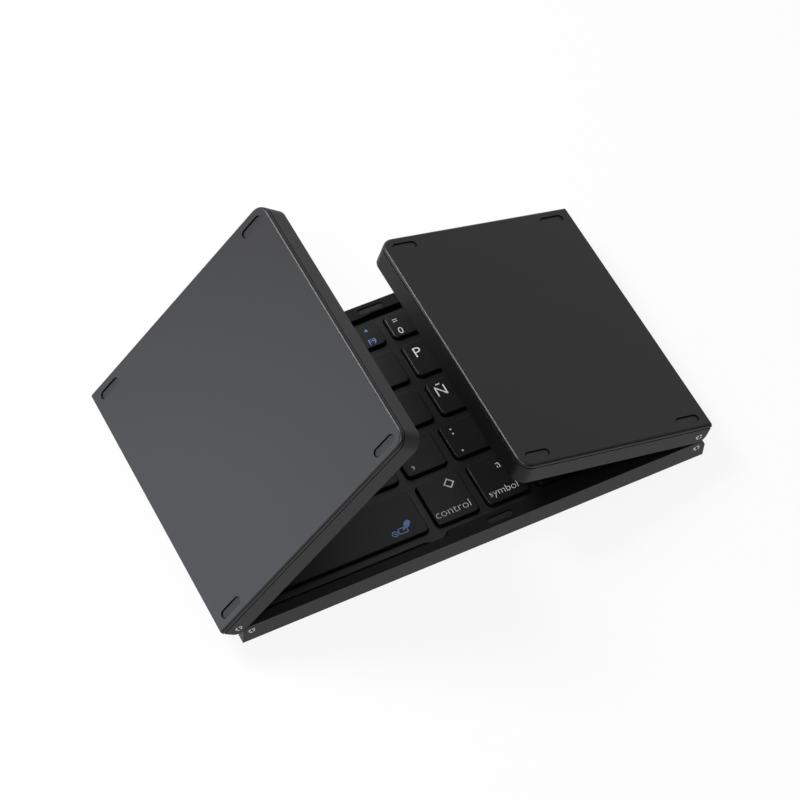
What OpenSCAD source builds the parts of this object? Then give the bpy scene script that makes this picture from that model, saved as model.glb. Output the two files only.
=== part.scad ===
// Three-panel folding keyboard, drawn half folded: a middle panel with keys, a left wing with keys
// and a right wing with a touchpad. Each wing hangs on a pair of two-pivot links.
// Origin: centre of the middle panel's underside. X runs along the keys, Y to the back, Z up.

/* [Panels] */
// Length of the middle panel between its two hinge ends
base_l = 164.5; // [158:0.5:180]
// Depth of every panel from front to back
panel_d = 98; // [97:0.5:110]
// Thickness of one panel
panel_t = 8.3; // [8.2:0.1:10]
// Width of the left wing from its hinge end to its free end
left_wing_w = 90.2; // [84:0.2:98]
// Gap between the two free ends when both wings are shut
shut_gap = 0.4; // [0.3:0.1:1]
// Plan radius of a wing's two free corners
corner_r = 4.7; // [3:0.1:6]
// Thickness of a wing's outer cover and of the bottom cover
cover_t = 1.2; // [1.1:0.1:1.4]
// Rounding of a wing cover's outer edges
cover_edge_r = 1; // [0.5:0.1:1]
// Upright land of a cover's edge below the rounding
cover_land = 0.05; // [0.05:0.01:0.1]
// Depth of the seam groove between a wing's cover and its frame
seam_depth = 0.4; // [0.1:0.05:0.4]
// Height of the seam groove
seam_h = 0.35; // [0.2:0.05:0.6]
// Wall of the middle frame around the inset bottom cover
cover_rebate = 1.2; // [1:0.1:1.4]
// Play around a cover or plate that drops into a frame
fit_play = 0.15; // [0.1:0.05:0.25]
// Depth of the finger relief in the middle panel's back edge
relief_depth = 2.9; // [1:0.1:3]
// Length of the finger relief
relief_l = 50; // [40:1:50]

/* [Rims and decks] */
// Width of the front rim beside the sunk deck
front_rim = 3.2; // [3:0.1:3.6]
// Width of the front rim where it carries the rim pad
pad_rim = 5; // [4.8:0.1:5.4]
// Place along the middle panel where the front rim widens
rim_step_x = 71; // [50:1:76]
// Slant of that step
rim_step_slant = 1.8; // [1:0.1:3]
// Width of the back rim
back_rim = 7.6; // [7.4:0.1:7.9]
// Place along the middle panel where the back rim narrows
back_step_x = 86; // [70:1:100]
// Amount by which it narrows
back_step = 0.5; // [0.3:0.1:0.6]
// Slant of that step
back_step_slant = 3.8; // [2:0.1:5]
// Width of the rim along a hinge end
hinge_rim = 4.1; // [3.9:0.1:4.2]
// Width of the rim along a wing's free end
free_rim = 3.4; // [3:0.1:3.6]
// Length of the corner block that holds a hinge pivot
block_l = 8; // [7.6:0.1:8.6]
// Depth of the corner block from the front edge
block_d = 6.6; // [6.4:0.1:6.8]
// Corner radius of the sunk deck
deck_corner_r = 1.5; // [0.8:0.1:2]
// Drop from the rim to the top of the key plate
deck_drop = 2; // [1.8:0.1:2.2]
// Thickness of the key plate
plate_t = 1; // [0.8:0.1:1.1]
// Width of the ledge that carries the key plate
ledge = 1; // [0.8:0.1:1.1]
// Width of the front bar below the ledge
front_bar = 6.2; // [5.8:0.1:6.4]
// Width of the back bar below the ledge
back_bar = 8.8; // [8.6:0.1:9]
// Open slot between the key plate and the back rim
back_slot = 0.8; // [0.6:0.1:0.9]
// Open slot between the key plate and the front rim
front_slot = 1.9; // [1.5:0.1:2.1]
// Distance of that slot's end from the step in the front rim
front_slot_in = 4; // [3:0.5:10]
// Length of the slot's slanted tip
slot_tip_l = 1.8; // [1:0.1:3]
// Width of the slot's slanted tip
slot_tip_w = 0.7; // [0.3:0.1:1]

/* [Keys] */
// Distance from the front edge to the front row
front_key_y = 7.8; // [7.6:0.1:8]
// Distance from the back edge to the number row
back_key_y = 10.1; // [9.9:0.1:10.6]
// Depth of the space bar row, as a share of a letter row
space_row = 1.24; // [1.1:0.01:1.3]
// Depth of the number row, as a share of a letter row
number_row = 0.71; // [0.6:0.01:0.8]
// Gap between two rows
row_gap = 3.45; // [3.2:0.05:3.6]
// Gap between two keys in a row
key_gap = 3.1; // [2.6:0.1:3.4]
// Gap between the up and the down arrow
split_gap = 1.4; // [1.2:0.1:2]
// Distance from a hinge end to the first key
hinge_key_x = 5.5; // [5.3:0.1:6]
// Distance from a wing's free end to its last key
free_key_x = 4.7; // [4.6:0.1:5.2]
// Corner radius of a keycap
key_r = 1.6; // [1:0.1:2]
// Height of a keycap's top above the key plate
key_proud = 1.6; // [1.2:0.1:1.7]
// Height of a keycap from skirt to top
cap_h = 3; // [2.8:0.1:3.1]
// Thickness of a keycap's top
cap_top_t = 1.1; // [0.9:0.1:1.2]
// Thickness of a keycap's skirt
cap_wall = 0.9; // [0.7:0.1:1]
// Gap between a keycap and its opening
key_clear = 0.4; // [0.3:0.05:0.4]
// Travel of a key
key_travel = 1.2; // [0.8:0.1:1.3]
// Width of a narrow key beside a fold, as a share of a letter key
narrow_key = 0.73; // [0.6:0.01:0.9]
// Width of the right shift key, as a share of a letter key
shift_key = 2.49; // [2:0.01:2.6]
// Width of the space bar, as a share of its neighbour
space_key = 4.19; // [4:0.01:4.4]

/* [Hinges] */
// Distance from a hinge end to the pivot, and from the rim down to the pivot
pin_in = 3; // [2.8:0.1:3.2]
// Gap between two panels, both when shut and when flat open
hinge_gap = 0.2; // [0.2:0.05:0.4]
// Thickness of the cheek outside a link
cheek_t = 1.65; // [1.4:0.05:1.8]
// Thickness of a link
link_t = 1.6; // [1.2:0.1:1.8]
// Radius of a link's round ends
link_r = 2.4; // [2:0.1:2.5]
// Gap between a link and its pocket, on every side
link_play = 0.15; // [0.1:0.05:0.2]
// Radius of a pivot screw's shank
pivot_r = 0.8; // [0.6:0.05:0.9]
// Radial clearance of the shank in the link's bore
pivot_clear = 0.05; // [0.02:0.01:0.1]
// Length of a pivot screw under its head
pivot_l = 5.6; // [5:0.1:6]
// Radius of a pivot screw's head
pivot_head_r = 1.3; // [1.2:0.05:1.6]
// Thickness of a pivot screw's head
pivot_head_t = 0.6; // [0.5:0.05:0.8]
// Length of one arm of the cross in a screw's head, as a share of the head's radius
cross_l = 0.65; // [0.5:0.05:0.75]
// Width of that arm, as a share of the head's radius
cross_w = 0.3; // [0.2:0.02:0.4]
// Turn of the left links from shut, at rest
left_link_angle = 45.5; // [0:0.5:90]
// Turn of the left wing on its links, at rest
left_wing_angle = 3.5; // [0:0.5:90]
// Turn of the right links from shut, at rest
right_link_angle = 0; // [0:0.5:90]
// Turn of the right wing on its links, at rest
right_wing_angle = 16; // [10:0.5:90]
// Width of the flex cable
flex_w = 16; // [10:1:20]
// Thickness of the flex cable
flex_t = 0.3; // [0.2:0.05:0.4]
// Place of the flex cable's front edge
flex_y = 41.5; // [38:0.5:44]

/* [Pads, magnets and screws] */
// Length of a foot pad's recess
foot_l = 9.1; // [8:0.1:9.4]
// Width of a foot pad's recess
foot_w = 2.9; // [2.4:0.1:3]
// Distance from a panel's end to its foot recess
foot_in = 3.1; // [3:0.1:3.6]
// Distance from the front or back edge to the middle of a foot recess
foot_y = 4.15; // [4:0.05:4.4]
// Depth of a pad's recess
pad_recess = 0.9; // [0.7:0.05:0.95]
// Thickness of a pad, which lies below the face around it
pad_t = 0.45; // [0.3:0.05:0.6]
// Gap between a foot pad and its recess
pad_play = 0.25; // [0.15:0.05:0.3]
// Width of a rim pad's recess
rim_pad_w = 2.2; // [1.8:0.1:2.4]
// Distance from the front edge to the middle of the front rim pad
rim_pad_y = 2.5; // [2.3:0.1:2.7]
// Distance from the relief's edge to the middle of the back rim pad
rim_pad_back = 2.5; // [2.3:0.1:2.6]
// Height of the cover's screw bosses above its outer face
boss_h = 2; // [1.8:0.1:2.2]
// Wall of a screw boss around its recess
boss_wall = 0.7; // [0.5:0.05:0.8]
// Radius of a cover screw's head
screw_head_r = 1.15; // [1:0.05:1.2]
// Thickness of a cover screw's head
screw_head_t = 0.4; // [0.3:0.05:0.5]
// Radius of a cover screw's shank
screw_r = 0.6; // [0.4:0.05:0.7]
// Length of a cover screw's shank
screw_l = 3.2; // [2.4:0.1:3.4]
// Length of a wing's magnet
magnet_l = 4.4; // [3:0.1:4.6]
// Width and height of a magnet
magnet_w = 1.5; // [1:0.1:1.6]
// Distance from a wing's free end to its magnets
magnet_in = 2.6; // [2.5:0.1:2.9]
// Distance from the front or back edge to a wing's magnets
magnet_y = 1.2; // [1.1:0.05:1.3]
// Play around a magnet in its pocket
magnet_play = 0.05; // [0.03:0.01:0.08]
// Wall above a wing's magnet
magnet_roof = 0.8; // [0.6:0.05:0.9]

/* [Electronics] */
// Thickness of the key circuit boards
board_t = 0.8; // [0.6:0.1:0.9]
// Play between a circuit board and the frame around it
board_play = 1; // [0.6:0.1:1.2]
// Gap between a pressed key and the board or dome under it
press_clear = 0.2; // [0.1:0.05:0.25]
// Radius of a key dome at its foot
dome_r = 3; // [2.4:0.1:3.2]
// Radius of a key dome at its top
dome_top_r = 1.6; // [1:0.1:2]
// Play between a dome's foot and a shallow keycap's skirt
dome_key_play = 0.4; // [0.2:0.1:0.6]
// Width of the ribs that carry a key board
rib_w = 2; // [1.5:0.1:3]
// Distance from the middle of a panel's depth forward to its first rib
rib_y = 33; // [25:1:37]
// Distance between the two ribs
rib_span = 50; // [40:1:54]
// Length of the controller board
controller_l = 38; // [36:1:42]
// Distance from the left hinge end to the controller board
controller_x = 15; // [13:0.5:15]
// Depth of the controller board
controller_d = 20; // [16:1:22]
// Thickness of the controller board
controller_t = 0.6; // [0.5:0.1:0.8]
// Height of the controller board above the bottom cover
controller_lift = 0.4; // [0.3:0.05:0.5]
// Distance from the controller board's edges to the posts that carry it
post_in = 4; // [3:0.1:5]
// Radius of those posts
post_r = 1.2; // [1:0.1:1.5]
// Thickness of the back wall behind the controller board
back_wall = 1.4; // [1.2:0.1:1.6]
// Distance from the left hinge end to the middle of the charging port
port_x = 40; // [38:0.5:44]
// Width of the charging port
port_w = 9; // [8.6:0.1:9.2]
// Height of the charging port
port_h = 3.2; // [3:0.1:3.2]
// Depth of the charging port
port_d = 7.4; // [6.5:0.1:7.4]
// Thickness of the charging port's shell
port_wall = 0.3; // [0.2:0.05:0.4]
// Distance from the charging port's mouth to the tongue inside it
tongue_in = 1; // [0.8:0.1:1.5]
// Distance from the left hinge end to the power switch
switch_x = 20; // [18:0.5:20]
// Length of the power switch's body
switch_l = 8; // [7.6:0.1:8.4]
// Depth of the power switch's body
switch_d = 3.6; // [3:0.1:4]
// Height of the power switch's body
switch_h = 2.8; // [2.6:0.1:3]
// Wall of the power switch behind its slider
switch_wall = 1; // [0.8:0.1:1.2]
// Width of the power slider
slider_w = 3.2; // [2.6:0.1:3.4]
// Height of the power slider
slider_h = 1.4; // [1.2:0.1:1.6]
// Travel of the power slider
slider_travel = 2.4; // [1.6:0.1:2.6]
// Distance that the slider stands out of the back wall
slider_proud = 0.6; // [0.4:0.1:0.8]
// Play around the power slider
slider_play = 0.15; // [0.1:0.05:0.2]
// Place of the status light, measured from the left hinge end
light_x = 31; // [30:0.5:32]
// Radius of the status light
light_r = 0.75; // [0.5:0.05:0.9]
// Distance from the back edge to the status light
light_in = 4; // [3.6:0.1:4.4]
// Height of the touchpad above its bezel plate
touch_proud = 0.6; // [0.3:0.1:0.8]
// Frame of bezel plate around the touchpad
touch_margin = 3; // [2:0.1:6]
// Thickness of the touchpad's circuit board
touch_board_t = 0.6; // [0.5:0.1:0.7]
// Thickness of the battery
battery_t = 3.2; // [2.4:0.1:3.2]
// Distance from the frame's inside to the battery
battery_in = 8; // [4:0.5:12]
// Air around a part that lies on another
lay_gap = 0.1; // [0.05:0.05:0.1]

/* [Hidden] */
$fn = 48;
cut = 1;
left_w = left_wing_w;
right_w = base_l - left_wing_w - shut_gap;
link_len = 2 * pin_in + hinge_gap;
pin_z = panel_t - pin_in;
plate_top = panel_t - deck_drop;
plate_z = plate_top - plate_t;
key_top = plate_top + key_proud;
key_z = key_top - cap_h;
board_top = key_z - key_travel - press_clear;
board_z = board_top - board_t;
dome_h = key_top - cap_top_t - key_travel - press_clear - board_top;
pocket_w = link_t + 2 * link_play;
pocket_r = link_r + link_play + pivot_clear;
back_rim_y = panel_d - back_rim;
well_y = front_key_y - key_clear;
front_step = pad_rim - front_rim;
seam_x = left_w + shut_gap / 2;
relief_x = (base_l - relief_l) / 2;
relief_y = panel_d - relief_depth;
controller_z = cover_t + controller_lift;
parts_z = controller_z + controller_t;
bay_h = parts_z + port_h + lay_gap;
inner_y = panel_d - back_wall;
light_y = panel_d - light_in;
magnet_top = panel_t - magnet_roof;
rim_magnet_l = foot_l - rim_pad_w / 2;

letter_rows = 3;
letter_row_d = (panel_d - front_key_y - back_key_y - (letter_rows + 1) * row_gap)
    / (space_row + letter_rows + number_row);
space_row_d = space_row * letter_row_d;
number_row_d = number_row * letter_row_d;
letter_y = front_key_y + space_row_d + row_gap;
row_y = [
    front_key_y,
    letter_y,
    letter_y + letter_row_d + row_gap,
    letter_y + 2 * (letter_row_d + row_gap),
    letter_y + 3 * (letter_row_d + row_gap)
];
row_d = [space_row_d, letter_row_d, letter_row_d, letter_row_d, number_row_d];

// Shares of each key in a row, from the left hinge end on the middle panel and from the hinge end
// on the left wing. Rows run from the space bar to the numbers.
full = [1, 1, 1, 1, 1, 1, 1, 1, 1];
base_shares = [
    [space_key, 1, 1, 1, 1, 1],
    [narrow_key, 1, 1, 1, 1, 1, 1, shift_key],
    full, full, full
];
wing_full = [1, 1, 1, 1, narrow_key];
left_shares = [[1, 1, 1, 1], wing_full, wing_full, wing_full, wing_full];
split_key = 4;

function sum(v, i = 0) = i < len(v) ? v[i] + sum(v, i + 1) : 0;
function part_sum(v, n, i = 0) = i < n ? v[i] + part_sum(v, n, i + 1) : 0;

// One row of keys between x0 and x1, each as [x, y, width, depth].
function key_row(x0, x1, row, shares) =
    let (unit = (x1 - x0 - key_gap * (len(shares) - 1)) / sum(shares))
    [for (i = [0:len(shares) - 1])
        [x0 + i * key_gap + unit * part_sum(shares, i), row_y[row], unit * shares[i], row_d[row]]];

// The up and down arrows share one place, half a key deep each.
function halves(k) =
    let (d = (k[3] - split_gap) / 2)
    [[k[0], k[1], k[2], d], [k[0], k[1] + d + split_gap, k[2], d]];

function base_row(row) =
    let (keys = key_row(hinge_key_x, base_l - hinge_key_x, row, base_shares[row]))
    row > 0 ? keys
        : concat([for (i = [0:split_key - 1]) keys[i]], halves(keys[split_key]), [keys[split_key + 1]]);

function left_row(row) = key_row(hinge_key_x, left_w - free_key_x, row, left_shares[row]);

base_keys = [for (row = [0:4]) each base_row(row)];
left_keys = [for (row = [0:4]) each left_row(row)];

// ---- Places ----------------------------------------------------------------

// The middle panel, with X from its left hinge end and Y from its front edge.
module on_base() {
    translate([-base_l / 2, -panel_d / 2, 0]) children();
}

// A left link, with its lower pivot at the origin and its upper pivot straight above it.
module on_left_link() {
    on_base() translate([pin_in, 0, pin_z]) rotate([0, -left_link_angle, 0]) children();
}

module on_right_link() {
    on_base() translate([base_l - pin_in, 0, pin_z]) rotate([0, right_link_angle, 0]) children();
}

// A wing is drawn flat open, with X from its hinge end to its free end.
module on_left_wing() {
    on_left_link() translate([0, 0, link_len]) rotate([0, 180 - left_wing_angle, 0])
        translate([pin_in, 0, -pin_z]) mirror([1, 0, 0]) children();
}

module on_right_wing() {
    on_right_link() translate([0, 0, link_len]) rotate([0, right_wing_angle - 180, 0])
        translate([-pin_in, 0, -pin_z]) children();
}

// ---- Shared shapes ----------------------------------------------------------

// Rectangle from (x0, y0) to (x1, y1) with round corners.
module round_rect(x0, y0, x1, y1, r) {
    translate([x0 + r, y0]) square([x1 - x0 - 2 * r, y1 - y0]);
    translate([x0, y0 + r]) square([x1 - x0, y1 - y0 - 2 * r]);
    for (x = [x0 + r, x1 - r], y = [y0 + r, y1 - r]) translate([x, y]) circle(r = r);
}

// Long-round slot, centred, with its length along X.
module pill(l, w) {
    translate([-(l - w) / 2, -w / 2]) square([l - w, w]);
    for (x = [-1, 1]) translate([x * (l - w) / 2, 0]) circle(d = w);
}

// Extrudes a shape drawn in X and Z along Y.
module along_y(y, l) {
    translate([0, y + l, 0]) rotate([90, 0, 0]) linear_extrude(l) children();
}

// Copies a child at the front edge to the back edge as well.
module front_and_back(d = panel_d) {
    children();
    translate([0, d, 0]) mirror([0, 1, 0]) children();
}

// Plan of a wing: square at the hinge end, round at the free corners.
module wing_plan(w, inset = 0) {
    translate([inset, inset]) square([w - corner_r - inset, panel_d - 2 * inset]);
    translate([inset, corner_r]) square([w - 2 * inset, panel_d - 2 * corner_r]);
    for (y = [corner_r, panel_d - corner_r]) translate([w - corner_r, y]) circle(r = corner_r - inset);
}

// Plan of the middle panel, with the finger relief in its back edge.
module base_plan(inset = 0) {
    difference() {
        translate([inset, inset]) square([base_l - 2 * inset, panel_d - 2 * inset]);
        polygon([
            [relief_x - inset, relief_y - inset], [base_l - relief_x + inset, relief_y - inset],
            [base_l - relief_x + inset + relief_depth + cut, panel_d + cut],
            [relief_x - inset - relief_depth - cut, panel_d + cut]
        ]);
    }
}

// Side view of a panel with its hinge corners rounded about the pivots.
module panel_side(w, two_hinges) {
    square([w, pin_z]);
    translate([pin_in, 0]) square([w - (two_hinges ? 2 : 1) * pin_in, panel_t]);
    translate([pin_in, pin_z]) circle(r = pin_in);
    if (two_hinges) translate([w - pin_in, pin_z]) circle(r = pin_in);
}

// Sunk deck of a wing; g narrows it for the plate that drops in.
module wing_deck(w, g = 0) {
    round_rect(block_l + g, front_rim + g, w - free_rim - g, back_rim_y - g, deck_corner_r);
    round_rect(hinge_rim + g, block_d + g, w - free_rim - g, back_rim_y - g, deck_corner_r);
}

// Sunk deck of the middle panel, with the steps in its front and back rims.
module base_deck(g = 0) {
    round_rect(block_l + g, pad_rim + g, base_l - block_l - g, back_rim_y - g, deck_corner_r);
    round_rect(hinge_rim + g, block_d + g, base_l - hinge_rim - g, back_rim_y - g, deck_corner_r);
    round_rect(block_l + g, front_rim + g, rim_step_x - 2 * deck_corner_r, 2 * block_d, deck_corner_r);
    polygon([
        [block_l + 3 * deck_corner_r, front_rim + g], [rim_step_x - g, front_rim + g],
        [rim_step_x + rim_step_slant - g, pad_rim + g], [rim_step_x + rim_step_slant - g, block_d],
        [block_l + 3 * deck_corner_r, block_d]
    ]);
    back_x = back_step_x + back_step_slant;
    round_rect(back_x - deck_corner_r + g, block_d + g, base_l - hinge_rim - g,
        back_rim_y + back_step - g, deck_corner_r);
    polygon([
        [back_step_x + g, back_rim_y - g], [back_x + g, back_rim_y + back_step - g],
        [back_x + 2 * deck_corner_r, back_rim_y + back_step - g],
        [back_x + 2 * deck_corner_r, back_rim_y - back_rim], [back_step_x + g, back_rim_y - back_rim]
    ]);
}

// Space below the deck, inside the bars and the hinge blocks.
module cavity(w, far_rim, g = 0) {
    far_block = far_rim == hinge_rim ? block_l : far_rim;
    translate([block_l + ledge + g, front_bar + g])
        square([w - block_l - far_block - 2 * ledge - 2 * g, panel_d - front_bar - back_bar - 2 * g]);
    translate([hinge_rim + ledge + g, well_y + g])
        square([w - hinge_rim - far_rim - 2 * ledge - 2 * g, panel_d - well_y - back_bar - 2 * g]);
}

// Places of the four foot pads on a panel.
module at_feet(w) {
    for (x = [foot_in + foot_l / 2, w - foot_in - foot_l / 2], y = [foot_y, panel_d - foot_y])
        translate([x, y, 0]) children();
}

// Link pocket, pivot hole and head seat in one hinge corner, at the front edge.
module pivot_cut() {
    translate([-cut, cheek_t, pin_z - pocket_r]) cube([pin_in + pocket_r + cut, pocket_w, panel_t]);
    along_y(pivot_head_t, pivot_l) translate([pin_in, pin_z]) circle(r = pivot_r);
    along_y(-cut, cut + pivot_head_t) translate([pin_in, pin_z]) circle(r = pivot_head_r);
}

// Notch and wire slot for the flex cable in a hinge end.
module flex_cut() {
    translate([-cut, flex_y - flex_t, pin_z - flex_t])
        cube([pin_in + flex_t + cut, flex_w + 2 * flex_t, panel_t]);
    translate([pin_in - cut, flex_y, pin_z - 3 * flex_t])
        cube([hinge_rim + ledge - pin_in + 2 * cut, flex_w, 2 * flex_t]);
}

module hinge_cuts() {
    front_and_back() pivot_cut();
    flex_cut();
}

// Bosses' room and screw holes above the cover.
module boss_cuts(w) {
    at_feet(w) {
        translate([0, 0, -cut]) linear_extrude(boss_h + fit_play + cut)
            pill(foot_l + 2 * (boss_wall + fit_play), foot_w + 2 * (boss_wall + fit_play));
        cylinder(r = screw_r, h = pad_recess + screw_head_t + screw_l);
    }
}

// Frame of a wing: bars, rim and hinge blocks, open below for the cover.
module wing_frame(w) {
    difference() {
        intersection() {
            along_y(0, panel_d) panel_side(w, false);
            union() {
                translate([0, 0, cover_t]) linear_extrude(panel_t) wing_plan(w, seam_depth);
                translate([0, 0, cover_t + seam_h]) linear_extrude(panel_t) wing_plan(w);
            }
        }
        translate([0, 0, -cut]) linear_extrude(plate_z + cut) cavity(w, free_rim);
        translate([0, 0, plate_z]) linear_extrude(panel_t) wing_deck(w);
        hinge_cuts();
        boss_cuts(w);
        front_and_back() wing_magnet(w, magnet_play, magnet_top);
    }
}

// Magnet below the rim at a wing's free corner; grow and drop open its pocket down to the cover.
module wing_magnet(w, grow, drop) {
    translate([w - magnet_in - magnet_l - grow, magnet_y - grow, magnet_top - magnet_w - drop])
        cube([magnet_l + 2 * grow, magnet_w + 2 * grow, magnet_w + drop]);
}

// Outer cover of a wing with a soft edge round its free sides, pad recesses and screw bosses.
module wing_cover(w) {
    difference() {
        union() {
            difference() {
                union() {
                    linear_extrude(cover_t) wing_plan(w, seam_depth);
                    linear_extrude(cover_edge_r + cover_land) wing_plan(w);
                }
                front_and_back() cover_edge_cut(w);
                along_y(corner_r, panel_d - 2 * corner_r) translate([w - cover_edge_r, 0]) edge_waste();
            }
            at_feet(w) translate([0, 0, pad_recess])
                linear_extrude(boss_h - pad_recess) pill(foot_l + 2 * boss_wall, foot_w + 2 * boss_wall);
        }
        foot_cuts(w);
    }
}

// What the soft edge takes off a cover along its front edge and round its front free corner.
module cover_edge_cut(w) {
    translate([-cut, cover_edge_r, 0]) rotate([90, 0, 90])
        linear_extrude(w - corner_r + cut) mirror([1, 0]) edge_waste();
    translate([w - corner_r, corner_r, 0]) rotate(-90)
        rotate_extrude(angle = 90) translate([corner_r - cover_edge_r, 0]) edge_waste();
}

// Section of what a soft edge takes off, outwards and downwards from where the rounding starts.
module edge_waste() {
    difference() {
        translate([0, -cut]) square([cover_edge_r + cut, cover_edge_r + cut]);
        translate([0, cover_edge_r]) circle(r = cover_edge_r);
    }
}

// Pad recesses with head seats and holes for the cover screws.
module foot_cuts(w) {
    at_feet(w) {
        translate([0, 0, -cut]) linear_extrude(pad_recess + cut) pill(foot_l, foot_w);
        cylinder(r = screw_head_r + lay_gap, h = pad_recess + screw_head_t);
        cylinder(r = screw_r + lay_gap, h = boss_h + cut);
    }
}

// Ribs on a cover that carry a key board.
module board_ribs(w, far_rim) {
    first_y = panel_d / 2 - rib_y;
    for (y = [first_y, first_y + rib_span])
        translate([hinge_rim + ledge + board_play, y, cover_t / 2])
            cube([w - hinge_rim - far_rim - 2 * (ledge + board_play), rib_w, board_z - cover_t / 2]);
}

module foot_pads(w) {
    at_feet(w) translate([0, 0, pad_recess - pad_t])
        linear_extrude(pad_t) pill(foot_l - 2 * pad_play, foot_w - 2 * pad_play);
}

module cover_screws(w) {
    at_feet(w) translate([0, 0, pad_recess]) {
        cylinder(r = screw_head_r, h = screw_head_t);
        cylinder(r = screw_r, h = screw_head_t + screw_l);
    }
}

// Cross-head screw along Y at one hinge corner of a panel.
module pivot_screw() {
    difference() {
        union() {
            along_y(0, pivot_head_t) translate([pin_in, pin_z]) circle(r = pivot_head_r);
            along_y(0, pivot_head_t + pivot_l) translate([pin_in, pin_z]) circle(r = pivot_r);
        }
        translate([pin_in, 0, pin_z]) rotate([0, 45, 0]) for (a = [0, 90]) rotate([0, a, 0])
            cube([2 * cross_l * pivot_head_r, pivot_head_t, cross_w * pivot_head_r], center = true);
    }
}

module pivot_screws() {
    front_and_back() pivot_screw();
}

module key_plate(keys) {
    translate([0, 0, plate_z]) linear_extrude(plate_t) difference() {
        children();
        for (k = keys) round_rect(k[0] - key_clear, k[1] - key_clear, k[0] + k[2] + key_clear,
            k[1] + k[3] + key_clear, key_r + key_clear);
    }
}

module caps(keys) {
    for (k = keys) translate([0, 0, key_z]) difference() {
        linear_extrude(cap_h) round_rect(k[0], k[1], k[0] + k[2], k[1] + k[3], key_r);
        translate([0, 0, -cut]) linear_extrude(cap_h - cap_top_t + cut)
            round_rect(k[0] + cap_wall, k[1] + cap_wall, k[0] + k[2] - cap_wall,
                k[1] + k[3] - cap_wall, key_r - cap_wall / 2);
    }
}

// One rubber dome under each key; a shallow key gets a smaller one.
module domes(keys) {
    for (k = keys) {
        r = min(dome_r, k[3] / 2 - cap_wall - dome_key_play);
        translate([k[0] + k[2] / 2, k[1] + k[3] / 2, board_top])
            cylinder(r1 = r, r2 = r * dome_top_r / dome_r, h = dome_h);
    }
}

module switch_board(w, far_rim) {
    translate([0, 0, board_z]) linear_extrude(board_t) cavity(w, far_rim, board_play);
}

// A pair of two-pivot links, at the front and the back.
module hinge_links() {
    front_and_back() along_y(cheek_t + link_play, link_t) difference() {
        union() {
            translate([-link_r, 0]) square([2 * link_r, link_len]);
            for (z = [0, link_len]) translate([0, z]) circle(r = link_r);
        }
        for (z = [0, link_len]) translate([0, z]) circle(r = pivot_r + pivot_clear);
    }
}

module flex_cable() {
    translate([-flex_t / 2, flex_y, 0]) cube([flex_t, flex_w, link_len]);
}

// ---- Middle panel -----------------------------------------------------------

// Recess for a rim pad with the magnet's pocket below it.
module rim_pad_cut(y) {
    translate([seam_x, y, panel_t - pad_recess]) {
        linear_extrude(pad_recess + cut) pill(foot_l, rim_pad_w);
        translate([-rim_magnet_l / 2 - magnet_play, -magnet_w / 2 - magnet_play, -magnet_w])
            cube([rim_magnet_l + 2 * magnet_play, magnet_w + 2 * magnet_play, magnet_w + lay_gap]);
    }
}

module at_rim_pads() {
    for (y = [rim_pad_y, relief_y - rim_pad_back])
        translate([seam_x, y, panel_t - pad_recess]) children();
}

// Slope on the step of the front rim.
module step_slope() {
    far_x = rim_step_x + rim_step_slant;
    along_y(front_rim, front_step) polygon([
        [rim_step_x, plate_top], [far_x, panel_t], [far_x, panel_t + cut], [rim_step_x, panel_t + cut]
    ]);
}

// Room for the controller board, with the port, slider and light openings.
module controller_cuts() {
    bay_y = inner_y - controller_d;
    translate([controller_x - fit_play, bay_y, cover_t - cut])
        cube([controller_l + 2 * fit_play, controller_d, bay_h - cover_t + cut]);
    translate([port_x, panel_d + cut, parts_z + port_h / 2]) rotate([90, 0, 0])
        linear_extrude(back_wall + 2 * cut) port_outline(lay_gap);
    translate([slider_x0 - slider_play, inner_y - cut, slider_z - slider_play])
        cube([slider_w + slider_travel + 2 * slider_play, back_wall + 2 * cut, slider_h + 2 * slider_play]);
    translate([light_x, light_y, parts_z]) cylinder(r = light_r, h = panel_t);
}

slider_x0 = switch_x + (switch_l - slider_w - slider_travel) / 2;
slider_z = parts_z + (switch_h - slider_h) / 2;

module port_outline(grow = 0) {
    pill(port_w + 2 * grow, port_h + 2 * grow);
}

module base_frame() {
    color("#2b2a2b") on_base() difference() {
        intersection() {
            along_y(0, panel_d) panel_side(base_l, true);
            linear_extrude(panel_t) base_plan();
        }
        translate([0, 0, -cut]) linear_extrude(cover_t + cut) base_plan(cover_rebate);
        translate([0, 0, -cut]) linear_extrude(plate_z + cut) cavity(base_l, hinge_rim);
        translate([0, 0, plate_z]) linear_extrude(panel_t) base_deck();
        hinge_cuts();
        translate([base_l, 0, 0]) mirror([1, 0, 0]) hinge_cuts();
        boss_cuts(base_l);
        rim_pad_cut(rim_pad_y);
        rim_pad_cut(relief_y - rim_pad_back);
        step_slope();
        controller_cuts();
    }
}

module base_key_plate() {
    color("#232324") on_base() key_plate(base_keys) difference() {
        base_deck(fit_play);
        translate([0, back_rim_y - back_slot]) square([base_l, 2 * back_rim]);
        front_slot_plan();
    }
}

// Plan of the slot along the front rim, which ends in a slanted tip.
module front_slot_plan() {
    end_x = rim_step_x - front_slot_in;
    end_y = front_rim + front_slot;
    polygon([[0, 0], [end_x, 0], [end_x, end_y - slot_tip_w], [end_x - slot_tip_l, end_y], [0, end_y]]);
}

module base_cover() {
    color("#262627") on_base() difference() {
        union() {
            linear_extrude(cover_t) base_plan(cover_rebate + fit_play);
            at_feet(base_l) translate([0, 0, pad_recess])
                linear_extrude(boss_h - pad_recess) pill(foot_l + 2 * boss_wall, foot_w + 2 * boss_wall);
            board_ribs(base_l, hinge_rim);
            for (x = [post_in, controller_l - post_in], y = [post_in, controller_d - post_in])
                translate([controller_x + x, inner_y - controller_d + y, 0])
                    cylinder(r = post_r, h = controller_z);
        }
        foot_cuts(base_l);
    }
}

module base_switch_board() {
    color("#1f5136") on_base() switch_board(base_l, hinge_rim);
}

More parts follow.
